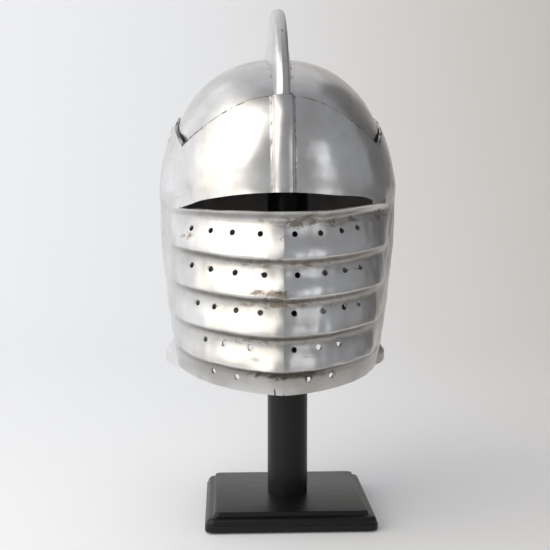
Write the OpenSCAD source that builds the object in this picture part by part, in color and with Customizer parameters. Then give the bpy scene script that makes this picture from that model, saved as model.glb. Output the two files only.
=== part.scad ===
// Knight's close helmet with a tall comb and a bellows visor, on its wooden display stand.
// The stand's underside is at z = 0 and the helmet faces -Y. Inside the helmet, u is the
// distance forward of the visor's pivots and w is the height above them.

/* [Stand] */
// Side of the square base board at the floor
base_w = 164; // [150:1:190]
// Thickness of the base board
base_t = 17; // [15:0.5:20]
// How far the moulded edge steps in from the floor to the top face
base_inset = 9.5; // [8:0.5:11]
// Diameter of the pole
pole_d = 40; // [38:0.5:42]
// Height of the visor's pivots above the floor
pivot_h = 368; // [355:1:400]
// How far the helmet sits to the side of the pole
helmet_shift = -10; // [-10:0.5:0]
// How far the pivots are behind the pole's axis
pivot_back = 18; // [16:0.5:20]

/* [Skull] */
// Thickness of the steel plate
plate_t = 2; // [1.6:0.1:2.2]
// Height of the bowl above the pivots
dome_top = 81.5; // [80:0.5:84]
// Half width that the dome's curve starts from
dome_half = 114.3; // [113:0.1:115.5]
// Half width of the skull's straight sides
cheek_half = 103; // [102:0.5:104]
// Depth of the bowl behind its own centre
skull_back = 125; // [120:1:130]
// How far the lower edge flares out behind the visor
flare = 11; // [6:0.5:12]

/* [Comb] */
// Radius of the comb's crest round the pivots
comb_r = 131; // [128:0.5:131]
// Half width of the comb at its crest
comb_half = 5.8; // [5.4:0.1:5.9]

/* [Visor] */
// Half width of the visor at the cheeks
visor_half = 118.6; // [118:0.1:120]
// Depth of the visor's brow in front of its own centre
visor_front = 134; // [133.5:0.1:135]
// Height of the brow's ridge over the comb at the seam
ridge_h = 12.2; // [12:0.1:13]
// Depth of the step under each bellows crest
bellows_step = 7; // [4:0.5:7.5]
// Diameter of a breath
breath_d = 5.4; // [4:0.1:6.5]

/* [Fittings] */
// Radius of the shoulder that the visor turns on
shoulder_r = 5; // [4:0.5:6]
// Running clearance round the shoulder
running = 0.05; // [0.03:0.01:0.08]
// Width of the chin strap
strap_w = 14; // [12:0.5:14]
// Thickness of the leather
leather_t = 2.5; // [2:0.1:3]

/* [Hidden] */

steel = "#b9bbbf";
dark_steel = "#8d9096";
black_wood = "#2a2a29";
tan_leather = "#7a4e2c";
brass_col = "#b08d4a";
felt_col = "#39402f";

felt_t = 1.5;
base_top = felt_t + base_t;
corner_r = 8;
socket_deep = 6;
pole_r = pole_d / 2;
pole_top = pivot_h + 35;
cap_skirt = 8;
cap_r = 26;
cap_top = pivot_h + 59.7;
pad_t = 5;
pad_r = 22;
skull_mid = -7;        // u of the skull's widest section
visor_mid = 3;         // u of the visor's widest section
skull_front = 142;     // depth of the bowl in front of its own centre
skull_flat = 100.3;    // x of the flat pressed round a pivot in the skull
visor_flat = 105.5;    // x of the flat pressed round a pivot in the visor
flat_r = 11.5;
flat_blend = 20;
notch_x = 0.833;       // where the brow's edge meets the arm, as a share of the half width
notch_a = 55.2;        // the same place as an angle round the visor
slit_a = 52;           // angle of the sight's end on the wearer's right
slit_left = 46;        // and on the wearer's left
opening_low = -20;     // lowest heights are cut to the face opening's outline

// Heights of the bellows crests and the lower edge, at the keel and at the sides
crest_keel = [-64.8, -105.5, -140.5, -174.6, -207, -229.8];
crest_side = [-61.5, -93, -127.5, -162.5, -193, -219];
// How far each crest stands proud of the plain face
crest_proud = [9, 11, 12, 12, 12, 3];

function clamp01(t) = min(max(t, 0), 1);
function mix(a, b, t) = a + (b - a) * t;
function ease(a, b, t) = let (q = clamp01((t - a) / (b - a))) q * q * (3 - 2 * q);
function arch(t, k) = pow(1 - pow(clamp01(t), k), 1 / k);
function side(a) = sin(a) < 0 ? -1 : 1;
function across(a, n) = side(a) * pow(abs(sin(a)), 2 / n);
function along(a, n) = (cos(a) < 0 ? -1 : 1) * pow(abs(cos(a)), 2 / n);

// A point at x across, u forward and w up, in the model's own axes
function helmet_point(x, u, w) = [x, -u, w];
module at_pivots() translate([helmet_shift, pivot_back, pivot_h]) children();

// ---- Skull ----
function skull_half(w, t) = let (
    dome = (dome_half - t) * arch((w + 70) / (70 + dome_top - t), 2.3),
    cheek = cheek_half - t)
    dome <= 0.01 ? 0.01 : dome * pow(1 + pow(dome / cheek, 20), -1 / 20);
function skull_fore(w, t) = (skull_front - t) * arch((w + 30) / (30 + dome_top - t), 2.3);
function skull_aft(w, t) = (skull_back - t) * arch((w + 20) / (20 + dome_top - t), 2.3)
    - 32 * ease(-30, -170, w);
function skull_flare(u, w) = flare * pow(clamp01((-186 - w) / 26), 1.6) * ease(15, -18, u);
function press_flat(x, u, w, flat) = let (
    k = 1 - ease(flat_r, flat_blend, norm([u, w])))
    abs(x) < 60 ? x : mix(x, sign(x) * flat, k);

// A point on the skull, t inside its outer face, at angle a from the brow
function skull_at(a, w, t) = let (
    x = skull_half(w, t) * across(a, 2.15),
    v = cos(a) >= 0 ? skull_fore(w, t) * along(a, 2.15) : skull_aft(w, t) * along(a, 2.15),
    out = skull_flare(skull_mid + v, w),
    r = max(norm([x, v]), 1),
    xf = x * (1 + out / r),
    uf = skull_mid + v * (1 + out / r),
    dip = 3.5 * exp(-(pow(uf + 16, 2) + pow(w - 8, 2)) / 1000),
    tuck = 9.5 * ease(-110, -205, w) * ease(-22, 12, uf),
    full = 3.4 * exp(-pow((uf - 52) / 38, 2) - pow((w - 4) / 22, 2)) * ease(40, 62, abs(xf)))
    helmet_point(press_flat(xf + sign(xf) * (full - (abs(xf) > 60 ? dip + tuck : 0)), uf, w, skull_flat - t),
        uf, w);

skull_angles = concat([for (a = [0 : 9 : 72]) a], [78, 82.5, 85.2, 87.7, 90, 92.6, 96],
    [for (a = [104 : 9.5 : 180]) a]);
skull_around = concat(skull_angles, [for (i = [len(skull_angles) - 1 : -1 : 1]) 360 - skull_angles[i]]);
function skull_edge(a) = let (b = a > 180 ? 360 - a : a) mix(-226, -214, ease(84, 105, b));
dome_rows = [for (b = [10 : 10 : 70]) b];
flat_rows = [14, 7, 0, -7, -14, -28];
skirt_rows = [0.1, 0.25, 0.42, 0.6, 0.76, 0.85, 0.93, 1];
function skull_rows(a, t) = concat(
    [for (b = dome_rows) dome_top - t - (dome_top - t - 20) * (1 - cos(b * 90 / 75))],
    [for (w = flat_rows) w],
    [for (q = skirt_rows) mix(-28, skull_edge(a), q)]);

// A closed bowl: rows of points round it from the top down, outer and inner, with two poles
module bowl(outer, inner, top_out, top_in) {
    rows = len(outer);
    cols = len(outer[0]);
    half = rows * cols;
    points = concat([for (r = outer) each r], [for (r = inner) each r], [top_out, top_in]);
    faces = concat(
        [for (i = [0 : rows - 2], j = [0 : cols - 1]) let (k = (j + 1) % cols)
            each [[i * cols + j, i * cols + k, (i + 1) * cols + k],
                [i * cols + j, (i + 1) * cols + k, (i + 1) * cols + j]]],
        [for (i = [0 : rows - 2], j = [0 : cols - 1]) let (k = (j + 1) % cols)
            each [[half + i * cols + j, half + (i + 1) * cols + k, half + i * cols + k],
                [half + i * cols + j, half + (i + 1) * cols + j, half + (i + 1) * cols + k]]],
        [for (j = [0 : cols - 1]) [2 * half, (j + 1) % cols, j]],
        [for (j = [0 : cols - 1]) [2 * half + 1, half + j, half + (j + 1) % cols]],
        [for (j = [0 : cols - 1]) let (k = (j + 1) % cols, b = (rows - 1) * cols)
            each [[b + j, b + k, half + b + k], [b + j, half + b + k, half + b + j]]]);
    polyhedron(points = points, faces = faces, convexity = 8);
}

// Side outline of the face opening: everything in front of it is cut away
face_edge = [[190, 22], [114, 22], [104, 18], [88, 2], [76, -18], [68, -38], [65, -66], [62, -96],
    [50, -130], [34, -170], [20, -204], [8, -236], [190, -236]];
module across_prism(outline, half) {
    translate([-half, 0, 0]) rotate([90, 0, 90]) linear_extrude(2 * half)
        polygon([for (p = outline) [-p[0], p[1]]]);
}
module both_pivots(r, from, to) {
    for (s = [-1, 1]) translate([s * (from + to) / 2, 0, 0]) rotate([0, 90, 0])
        cylinder(r = r, h = to - from, center = true, $fn = 48);
}
module skull() {
    n = len(dome_rows) + len(flat_rows) + len(skirt_rows);
    color(steel) at_pivots() difference() {
        bowl([for (i = [0 : n - 1]) [for (a = skull_around) skull_at(a, skull_rows(a, 0)[i], 0)]],
            [for (i = [0 : n - 1]) [for (a = skull_around)
                skull_at(a, i < len(dome_rows) ? skull_rows(a, plate_t)[i] : skull_rows(a, 0)[i], plate_t)]],
            helmet_point(0, skull_mid, dome_top), helmet_point(0, skull_mid, dome_top - plate_t));
        across_prism(face_edge, 150);
        both_pivots(shoulder_r - 1, 90, 120);
    }
}

// ---- Comb ----
function on_skull(u, w) = u > skull_mid
    ? pow((u - skull_mid) / skull_front, 2.3) + pow(max(w + 30, 0) / (30 + dome_top), 2.3)
    : pow((skull_mid - u) / skull_back, 2.3) + pow(max(w + 20, 0) / (20 + dome_top), 2.3);
// Distance from the pivots to the bowl's middle line, at angle p above the brow
function skull_r(p, lo = 60, hi = 150, n = 24) = n == 0 ? lo : let (m = (lo + hi) / 2)
    on_skull(m * cos(p), m * sin(p)) < 1 ? skull_r(p, m, hi, n - 1) : skull_r(p, lo, m, n - 1);
// One slice of the comb: outer face from foot to foot over the crest, then the inner face
function comb_ring(p) = let (
    foot = min(skull_r(p) - 1, comb_r - 5),
    foot_half = comb_half + 0.15 * (comb_r - foot),
    outer = [[foot_half, foot], [comb_half + 0.4, comb_r - 4], [comb_half - 1, comb_r - 1.2],
        [comb_half - 3, comb_r]],
    inner = [[foot_half - 1.6, foot], [comb_half - 1.3, comb_r - 4.6], [comb_half - 2.1, comb_r - 2.9],
        [comb_half - 3.6, comb_r - 1.8]],
    both = [outer, inner],
    ring = [for (q = both) each concat(q, [for (i = [3 : -1 : 0]) [-q[i][0], q[i][1]]])])
    [for (q = ring) helmet_point(q[0], q[1] * cos(p), q[1] * sin(p))];
// A solid swept through rings of points, closed at both ends
module sweep(rings) {
    n = len(rings);
    m = len(rings[0]);
    polyhedron(points = [for (r = rings) each r], faces = concat(
        [[for (j = [0 : m - 1]) j]],
        [for (i = [0 : n - 2], j = [0 : m - 1]) let (k = (j + 1) % m)
            each [[i * m + j, (i + 1) * m + j, (i + 1) * m + k], [i * m + j, (i + 1) * m + k, i * m + k]]],
        [[for (j = [m - 1 : -1 : 0]) (n - 1) * m + j]]), convexity = 8);
}
// A bent channel: each ring is an outer line and an inner line of the same length
module channel(rings) {
    n = len(rings);
    m = len(rings[0]) / 2;
    w = 2 * m;
    function skin(i, j, k) = [[i * w + j, (i + 1) * w + j, (i + 1) * w + k], [i * w + j, (i + 1) * w + k, i * w + k]];
    polyhedron(points = [for (r = rings) each r], faces = concat(
        [for (i = [0 : n - 2], j = [0 : m - 2]) each skin(i, j, j + 1)],
        [for (i = [0 : n - 2], j = [0 : m - 2]) each skin(i, m + j + 1, m + j)],
        [for (i = [0 : n - 2]) each concat(skin(i, m, 0), skin(i, m - 1, w - 1))],
        [for (j = [0 : m - 2]) each [[j, j + 1, m + j + 1], [j, m + j + 1, m + j]]],
        [for (j = [0 : m - 2]) let (e = (n - 1) * w)
            each [[e + j, e + m + j + 1, e + j + 1], [e + j, e + m + j, e + m + j + 1]]]), convexity = 8);
}
module comb() {
    color(steel) at_pivots() channel([for (p = [13 : 4.2 : 166]) comb_ring(p)]);
}

// ---- Visor ----
function visor_w_half(w) = w > -70
    ? visor_half * arch((w + 70) / 155, 2.15)
    : visor_half - 17.5 * pow((-70 - w) / 150, 1.6);
function visor_w_front(w) = w > -30
    ? visor_front * arch((w + 30) / 112.5, 2.3)
    : visor_front - 7 * pow((-30 - w) / 200, 1.5);
function crest_at(i, q) = mix(crest_keel[i], crest_side[i], q * q);
function lip_at(q) = mix(-47.5, -60, pow(min(q / 0.8, 1), 2));
// Height of the visor's upper edge: the brow's seam, the notch and the arm's rounded end
function upper_edge(a) = let (b = abs(a)) b <= notch_a
    ? 39 - 43 * pow(pow(sin(b), 2 / 2.15) / notch_x, 2.5)
    : lookup(b, [[notch_a, -4], [64, 6.5], [77, 15.5], [84, 21], [90, 25.3], [96, 21.5], [101.5, 9]]);
// Angle of the visor's rear edge at height w
function rear_angle(w) = lookup(w, [[-230, 84], [-219, 84], [-190, 86.4], [-130, 90], [-70, 94.8],
    [-30, 100], [-10, 101.5], [0, 101.6], [10, 101.3], [26, 98.5]]);
// How far the bellows stand proud, between one crest and the next
function bellows(q, w) = let (
    hit = [for (i = [0 : 4]) if (w <= crest_at(i, q) && w > crest_at(i + 1, q) - 0.01) i],
    i = len(hit) > 0 ? hit[0] : 5,
    t = i > 4 ? 1 : (crest_at(i, q) - w) / (crest_at(i, q) - crest_at(i + 1, q)),
    low = i > 4 ? crest_proud[5] : crest_proud[i] - bellows_step)
    w > crest_at(0, q) ? crest_proud[0] * clamp01((-50 - w) / (-50 - crest_at(0, q)))
    : i > 4 ? crest_proud[5]
    : t < 0.16 ? mix(crest_proud[i], low, t / 0.16)
    : mix(low, crest_proud[i + 1], ease(0.16, 1.08, t) / ease(0.16, 1.08, 1));
function brow_ridge(x, w) = mix(ridge_h, 9, ease(45, -47, w)) * (1 - ease(7.8, 11.3, abs(x)))
    * ease(-53, -47, w);

// The beaten face rides a little higher round the sight's end on the wearer's left
function face_lift(a, w) = 4 * ease(18, 46, a) * ease(-28, -50, w) * ease(-104, -70, w);

function visor_at(a, w) = let (
    b = abs(a),
    n = b > 90 ? 2.15 : mix(1.8, 2.15, ease(-66, -44, w)),
    q = pow(abs(sin(b)), 2 / n),
    x0 = visor_w_half(w) * q,
    v0 = b <= 90 ? visor_w_front(w) * along(b, n) : 130 * along(b, n),
    out = (w < -47 ? bellows(q, w) * (1 - ease(50, 67, b)) : 0) + (w > -53 ? brow_ridge(x0, w) : 0),
    d = [0.9 * x0, max(v0, 0)],
    r = max(norm(d), 1),
    u = visor_mid + v0 + out * d[1] / r,
    x1 = x0 + 0.6 * out * d[0] / r - 6 * ease(-25, -60, w) * ease(33, -8, u))
    helmet_point((a < 0 ? -1 : 1) * press_flat(x1, u, w, visor_flat), u, w + face_lift(a, w));
function visor_normal(a, w) = let (
    c = cross(visor_at(a + 0.4, w) - visor_at(a - 0.4, w), visor_at(a, w + 0.7) - visor_at(a, w - 0.7)))
    c / norm(c);
function visor_inside(a, w) = visor_at(a, w) - plate_t * visor_normal(a, w);

visor_angles = concat([0, 1.6, 2.9, 3.8, 4.6, 6.5], [for (a = [10 : 6 : 46]) a],
    [slit_a, notch_a, 60, 66, 72, 78, 83, 86.1, 88.7, 91, 93.6, 96.4, 99, 101.5]);
visor_columns = concat([for (i = [len(visor_angles) - 1 : -1 : 1]) -visor_angles[i]], visor_angles);
brow_rows = [0, 0.13, 0.21, 0.29, 0.38, 0.46, 0.6, 0.8, 1];
band_rows = [0.08, 0.18, 0.45, 0.72, 1];
// Heights of one column's points, from the upper edge to the lower
function visor_rows(a) = let (q = pow(abs(sin(min(abs(a), 90))), 2 / 2)) concat(
    [for (t = brow_rows) mix(upper_edge(a), lip_at(q), t)],
    [crest_at(0, q)],
    [for (i = [0 : 4], t = band_rows) mix(crest_at(i, q), crest_at(i + 1, q), t)]);
// The rear columns close up to follow the rear edge
function column_angle(a, w) = let (b = abs(a)) b < 72 ? a
    : sign(a) * (72 + (b - 72) * (rear_angle(w) - 72) / (101.5 - 72));
lip_row = len(brow_rows) - 1;
function in_sight(i, j) = i == lip_row && visor_columns[j] > -slit_a - 0.1
    && visor_columns[j + 1] < slit_left + 0.1;
module visor_shell() {
    rows = len(visor_rows(0));
    cols = len(visor_columns);
    half = rows * cols;
    spots = [for (i = [0 : rows - 1]) [for (a = visor_columns) let (w = visor_rows(a)[i]) [column_angle(a, w), w]]];
    outer = [for (r = spots) each [for (s = r) visor_at(s[0], s[1])]];
    inner = [for (r = spots) each [for (s = r) visor_inside(s[0], s[1])]];
    sight = [for (j = [0 : cols - 2]) if (in_sight(lip_row, j)) j];
    first = sight[0];
    last = sight[len(sight) - 1] + 1;
    top = lip_row * cols;
    low = top + cols;
    function wall(p, q) = [[p, q, half + q], [p, half + q, half + p]];
    polyhedron(points = concat(outer, inner), faces = concat(
        [for (i = [0 : rows - 2], j = [0 : cols - 2]) if (!in_sight(i, j)) let (p = i * cols + j)
            each [[p, p + 1, p + cols + 1], [p, p + cols + 1, p + cols]]],
        [for (i = [0 : rows - 2], j = [0 : cols - 2]) if (!in_sight(i, j)) let (p = half + i * cols + j)
            each [[p, p + cols + 1, p + 1], [p, p + cols, p + cols + 1]]],
        [for (j = [0 : cols - 2]) each wall(j + 1, j)],
        [for (j = [0 : cols - 2]) each wall((rows - 1) * cols + j, (rows - 1) * cols + j + 1)],
        [for (i = [0 : rows - 2]) each wall(i * cols, (i + 1) * cols)],
        [for (i = [0 : rows - 2]) each wall((i + 2) * cols - 1, (i + 1) * cols - 1)],
        [for (j = [first : last - 1]) each wall(top + j, top + j + 1)],
        [for (j = [first : last - 1]) each wall(low + j + 1, low + j)],
        wall(low + first, top + first),
        wall(top + last, low + last)), convexity = 10);
}

// Breaths: one hand-punched row in each bellows band, as distances across the face and a share of the band
breath_rows = [[[-77, -60.5, -42.5, -19.5, 9, 31, 49.5, 64], 0.48],
    [[-78, -61.5, -41, -16.5, 11.5, 35.5, 53.5, 68], 0.44],
    [[-75, -60.5, -41.5, -20.5, 9, 35, 54.5, 69], 0.42],
    [[-71.5, -54.5, -30.5, 9.5, 33, 52.5], 0.41], [[-67.5, -45, 24.5, 48], 0.42]];
module breaths() {
    for (i = [0 : 4], x = breath_rows[i][0]) {
        q0 = min(abs(x) / 112, 1);
        a = sign(x) * asin(pow(q0, 1.8 / 2));
        w = mix(crest_at(i, q0), crest_at(i + 1, q0), breath_rows[i][1]);
        p = visor_at(a, w);
        turn = atan2(p[1] + 30, p[0]);
        translate(p) rotate([0, 0, turn]) rotate([0, 90, 0])
            cylinder(d = breath_d, h = 26, center = true, $fn = 16);
    }
}
module visor() {
    color(steel) at_pivots() difference() {
        visor_shell();
        breaths();
        both_pivots(shoulder_r + running, 95, 125);
    }
}

// ---- Pivots ----
// A dome-headed shoulder bolt, drawn along +X with the inner face of its head at x = 0
head_gap = 0.3;
module shoulder_bolt() {
    head_r = 7.5;
    head_h = 2.6;
    dome_r = (head_r * head_r + head_h * head_h) / (2 * head_h);
    shank = visor_flat - skull_flat + head_gap;
    rotate([0, 90, 0]) {
        rotate_extrude($fn = 64) intersection() {
            translate([0, head_h - dome_r]) circle(r = dome_r, $fn = 96);
            square([head_r + 1, head_h + 1]);
        }
        translate([0, 0, -shank]) cylinder(r = shoulder_r, h = shank, $fn = 48);
        translate([0, 0, -shank - 12]) cylinder(r = shoulder_r - 1, h = 12, $fn = 48);
    }
}
module each_side() for (s = [0, 1]) mirror([s, 0, 0]) children();
module ring_x(x, r_out, r_in, h) {
    translate([x, 0, 0]) rotate([0, 90, 0]) difference() {
        cylinder(r = r_out, h = h, $fn = 64);
        translate([0, 0, -1]) cylinder(r = r_in, h = h + 2, $fn = 48);
    }
}
module pivot_bolts() {
    color(dark_steel) at_pivots() each_side() translate([visor_flat + head_gap, 0, 0]) shoulder_bolt();
}
spacer_t = visor_flat - plate_t - skull_flat - 0.3;
module pivot_spacers() {
    color(tan_leather) at_pivots() each_side() ring_x(skull_flat, 8.5, shoulder_r, spacer_t);
}
module pivot_washers() {
    color(dark_steel) at_pivots() each_side()
        ring_x(skull_flat - plate_t - 1.5, 8, shoulder_r - 1, 1.3);
}
module pivot_nuts() {
    color(dark_steel) at_pivots() each_side() translate([skull_flat - plate_t - 7.5, 0, 0])
        rotate([0, 90, 0]) difference() {
            cylinder(r = 7.5, h = 6, $fn = 6);
            translate([0, 0, -1]) cylinder(r = shoulder_r - 1, h = 8, $fn = 48);
        }
}

// ---- Liner ----
band_low = 10;
band_high = 36;
band_gap = 2.5;
module closed_sweep(rings) {
    n = len(rings);
    m = len(rings[0]);
    polyhedron(points = [for (r = rings) each r], faces =
        [for (i = [0 : n - 1], j = [0 : m - 1]) let (k = (j + 1) % m, h = (i + 1) % n)
            each [[i * m + j, h * m + j, h * m + k], [i * m + j, h * m + k, i * m + k]]], convexity = 8);
}
module liner_band() {
    out = plate_t + band_gap;
    color(tan_leather) at_pivots() closed_sweep([for (a = [0 : 7.5 : 352.5])
        [skull_at(a, band_low, out), skull_at(a, band_high, out),
            skull_at(a, band_high, out + leather_t), skull_at(a, band_low, out + leather_t)]]);
}
tongue_rows = [31, 44, 56, 65, 69.5];
tongue_reach = [17, 17, 16, 14, 11];
module tongue(mid) {
    out = plate_t + band_gap + leather_t + 0.3;
    sweep([for (i = [0 : len(tongue_rows) - 1]) let (w = tongue_rows[i], spread = tongue_reach[i])
        concat([for (k = [-1, -0.33, 0.33, 1]) skull_at(mid + k * spread, w, out)],
            [for (k = [1, 0.33, -0.33, -1]) skull_at(mid + k * spread, w - 0.4, out + 1.8)])]);
}
module liner_tongues() {
    color(tan_leather) at_pivots() for (k = [0 : 7]) tongue(22.5 + 45 * k);
}
lace_r = 1.5;
module crown_lace() {
    out = plate_t + band_gap + leather_t + 4.2;
    color("#cbb893") at_pivots() closed_sweep([for (a = [0 : 9 : 351]) let (
        c = skull_at(a, 66.5, out),
        dir = [c[0], c[1] - 7, 0] / norm([c[0], c[1] - 7, 0]))
        [for (k = [0 : 45 : 315]) c + lace_r * (cos(k) * dir + sin(k) * [0, 0, 1])]]);
}
// Rivets through the skull and the band: two sunk ones under the brow, three round the back
sunk_angles = [-13, 13];
rivet_angles = [125, 180, 235];
rivet_w = 20;
module rivet(a, proud) {
    p = skull_at(a, rivet_w, 0);
    inside = plate_t + band_gap + leather_t;
    translate(p) rotate([0, 0, atan2(p[1] - 7, p[0])]) rotate([0, 90, 0]) {
        translate([0, 0, -inside - 1]) cylinder(r = 1.6, h = inside + 1 + proud, $fn = 24);
        translate([0, 0, proud - 1.2]) cylinder(r1 = 4, r2 = 2.6, h = 1.2, $fn = 24);
        translate([0, 0, -inside - 1.4]) cylinder(r1 = 2.4, r2 = 3.4, h = 1.2, $fn = 24);
    }
}
module liner_rivets() {
    color(dark_steel) at_pivots() {
        for (a = sunk_angles) rivet(a, -0.9);
        for (a = rivet_angles) rivet(a, 0.9);
    }
}

// ---- Chin strap ----
strap_u = 52;                  // u of the strap's middle
strap_top = [89, -74];       // where a side is riveted, as x and w
buckle_at = [-46, -170];
buckle_tilt = 26.565;
bar_r = 1.5;
bar_out = 12;                  // distance from the buckle's middle to its bars
fold_r = bar_r + 0.1 + leather_t;
along_buckle = [cos(buckle_tilt), -sin(buckle_tilt)];
out_of_buckle = [-sin(buckle_tilt), -cos(buckle_tilt)];
heel = buckle_at - bar_out * along_buckle;
toe = buckle_at + bar_out * along_buckle;

function curve(a, b, c, d, t) = pow(1 - t, 3) * a + 3 * t * pow(1 - t, 2) * b
    + 3 * t * t * (1 - t) * c + pow(t, 3) * d;
function left_line(t) = curve([-strap_top[0], strap_top[1]], [-88.4, -110], heel - 32 * along_buckle,
    heel - 1 * along_buckle, t);
function left_out(t) = let (d = left_line(t + 0.01) - left_line(t - 0.01)) [d[1], -d[0]] / norm(d);
tail_gap = leather_t + 0.4;
left_path = [for (t = [0 : 0.05 : 1]) left_line(t)];
right_path = concat([for (t = [0 : 0.05 : 0.95]) curve(strap_top, [88.4, -118], [68, -183], [14, -184], t)],
    [for (t = [0 : 0.2 : 0.8]) curve([14, -184], [-6, -184.4], [-22, -178],
        toe - (bar_r + 0.3 + leather_t / 2) * out_of_buckle, t)],
    [toe - (bar_r + 0.3 + leather_t / 2) * out_of_buckle,
        heel + (fold_r + 0.4 + leather_t / 2) * out_of_buckle],
    [for (t = [0.86 : -0.04 : 0.66]) left_line(t) + tail_gap * left_out(t)]);
function ribbon(path, half) = let (
    n = len(path),
    ways = [for (i = [0 : n - 1]) path[min(i + 1, n - 1)] - path[max(i - 1, 0)]],
    outs = [for (t = ways) [-t[1], t[0]] / norm(t)])
    concat([for (i = [0 : n - 1]) path[i] + half * outs[i]],
        [for (i = [n - 1 : -1 : 0]) path[i] - half * outs[i]]);
module strap_solid(path) {
    translate([0, -strap_u + strap_w / 2, 0]) rotate([90, 0, 0])
        linear_extrude(strap_w) polygon(ribbon(path, leather_t / 2));
}
module at_buckle() {
    translate([buckle_at[0], -strap_u, buckle_at[1]]) rotate([0, buckle_tilt, 0]) children();
}
module rod_y(x, r, h) translate([x, 0, 0]) rotate([90, 0, 0]) cylinder(r = r, h = h, center = true, $fn = 32);
slot_w = 4;
module strap_left() {
    color(tan_leather) at_pivots() difference() {
        union() {
            strap_solid(left_path);
            at_buckle() rod_y(-bar_out, fold_r, strap_w);
        }
        at_buckle() {
            rod_y(-bar_out, bar_r + 0.1, strap_w + 2);
            translate([-bar_out + 1, 0, 0]) cube([2 * fold_r + 3, slot_w + 1, 2 * fold_r + 2], center = true);
        }
    }
}
module strap_right() {
    color(tan_leather) at_pivots() difference() {
        strap_solid(right_path);
        at_buckle() translate([-2, 0, 0]) cube([17, slot_w, 16], center = true);
    }
}
strap_rivet_h = 7.9;
module strap_rivets() {
    color(dark_steel) at_pivots() each_side() translate([strap_top[0], -strap_u, strap_top[1] - 7])
        rotate([0, 90, 0]) {
            translate([0, 0, -leather_t / 2 - 1.5]) cylinder(r = 3.6, h = 1.5, $fn = 32);
            translate([0, 0, -leather_t / 2]) cylinder(r = 1.5, h = strap_rivet_h, $fn = 24);
        }
}
keeper_t = 0.84;
module strap_keeper() {
    wall = 1.6;
    inner = [tail_gap + leather_t + 0.8, strap_w + 0.8];
    mid = left_line(keeper_t) + tail_gap / 2 * left_out(keeper_t);
    out = left_out(keeper_t);
    color(tan_leather) at_pivots() translate([mid[0], -strap_u, mid[1]])
        rotate([0, atan2(-out[1], out[0]), 0]) difference() {
            cube([inner[0] + 2 * wall, inner[1] + 2 * wall, 7], center = true);
            cube([inner[0], inner[1], 9], center = true);
        }
}
frame_half = strap_w / 2 + 3;
module buckle_frame() {
    color(brass_col) at_pivots() at_buckle() {
        for (x = [-bar_out, bar_out]) rod_y(x, bar_r, 2 * frame_half);
        for (y = [-frame_half, frame_half], x = [-bar_out, bar_out]) translate([x, y, 0])
            sphere(r = bar_r, $fn = 32);
        for (y = [-frame_half, frame_half]) translate([0, y, 0]) rotate([0, 90, 0])
            cylinder(r = bar_r, h = 2 * bar_out, center = true, $fn = 32);
    }
}
prong_r = 1.1;
module buckle_prong() {
    lift = atan2(bar_r + prong_r + 0.15, 2 * bar_out);
    color(brass_col) at_pivots() at_buckle() difference() {
        union() {
            rod_y(-bar_out, 2.8, 2.8);
            translate([-bar_out, 0, 0]) rotate([0, 90 + lift, 0]) cylinder(r = prong_r, h = 2 * bar_out + 2.5, $fn = 24);
        }
        rod_y(-bar_out, bar_r + running, 6);
    }
}

// ---- Stand ----
module round_board(w, t) {
    linear_extrude(t) union() {
        square([w, w - 2 * corner_r], center = true);
        square([w - 2 * corner_r, w], center = true);
        for (x = [-1, 1], y = [-1, 1]) translate([x * (w / 2 - corner_r), y * (w / 2 - corner_r)])
            circle(r = corner_r, $fn = 48);
    }
}
screw_r = 2.5;
screw_head_r = 5.5;
screw_into_pole = 48;
// Moulded edge: share of the thickness and share of the inset at each step
edge_steps = [[0, 0], [0.42, 0.12], [0.6, 0.3], [0.74, 0.6], [0.82, 1]];
module stand_base() {
    color(black_wood) translate([0, 0, felt_t]) difference() {
        union() for (i = [0 : len(edge_steps) - 1]) let (s = edge_steps[i])
            translate([0, 0, s[0] * base_t])
                round_board(base_w - 2 * base_inset * s[1],
                    ((i + 1 < len(edge_steps) ? edge_steps[i + 1][0] : 1) - s[0]) * base_t);
        translate([0, 0, base_t - socket_deep]) cylinder(r = pole_r, h = socket_deep + 1, $fn = 96);
        translate([0, 0, -1]) cylinder(r = screw_r + 0.3, h = base_t, $fn = 32);
        translate([0, 0, -0.01]) cylinder(r1 = screw_head_r + 0.4, r2 = screw_r + 0.3, h = 4, $fn = 48);
    }
}
module base_felt() {
    color(felt_col) round_board(base_w - 8, felt_t);
}
module wood_screw(length) {
    cylinder(r1 = screw_head_r, r2 = screw_r, h = 3.5, $fn = 48);
    translate([0, 0, 3.5]) cylinder(r = screw_r, h = length - 8.5, $fn = 32);
    translate([0, 0, length - 5]) cylinder(r1 = screw_r, r2 = 0.5, h = 5, $fn = 32);
}
module base_screw() {
    color(dark_steel) translate([0, 0, felt_t + 0.2])
        wood_screw(base_t - socket_deep + screw_into_pole);
}
module stand_pole() {
    low = base_top - socket_deep;
    color(black_wood) difference() {
        translate([0, 0, low]) cylinder(r = pole_r, h = pole_top - low, $fn = 96);
        translate([0, 0, low - 1]) cylinder(r = screw_r + 0.02, h = screw_into_pole + 3, $fn = 32);
        translate([0, 0, pole_top - 34]) cylinder(r = screw_r + 0.02, h = 35, $fn = 32);
    }
}
module pole_cap() {
    dome_h = cap_top - pole_top;
    color(black_wood) difference() {
        translate([0, 0, pole_top - cap_skirt]) rotate_extrude($fn = 96) difference() {
            union() {
                square([cap_r - 2, cap_skirt + 4]);
                translate([0, cap_skirt]) square([cap_r, dome_h - 8]);
                translate([0, cap_skirt + dome_h - 8]) square([cap_r - 8, 8]);
                translate([cap_r - 8, cap_skirt + dome_h - 8]) circle(r = 8, $fn = 48);
            }
            square([pole_r, cap_skirt]);
        }
        translate([0, 0, pole_top - 1]) cylinder(r = screw_r + 0.3, h = dome_h + 2, $fn = 32);
        translate([0, 0, cap_top - 4]) cylinder(r1 = screw_r + 0.3, r2 = screw_head_r + 0.5, h = 4.01, $fn = 48);
    }
}
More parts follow.
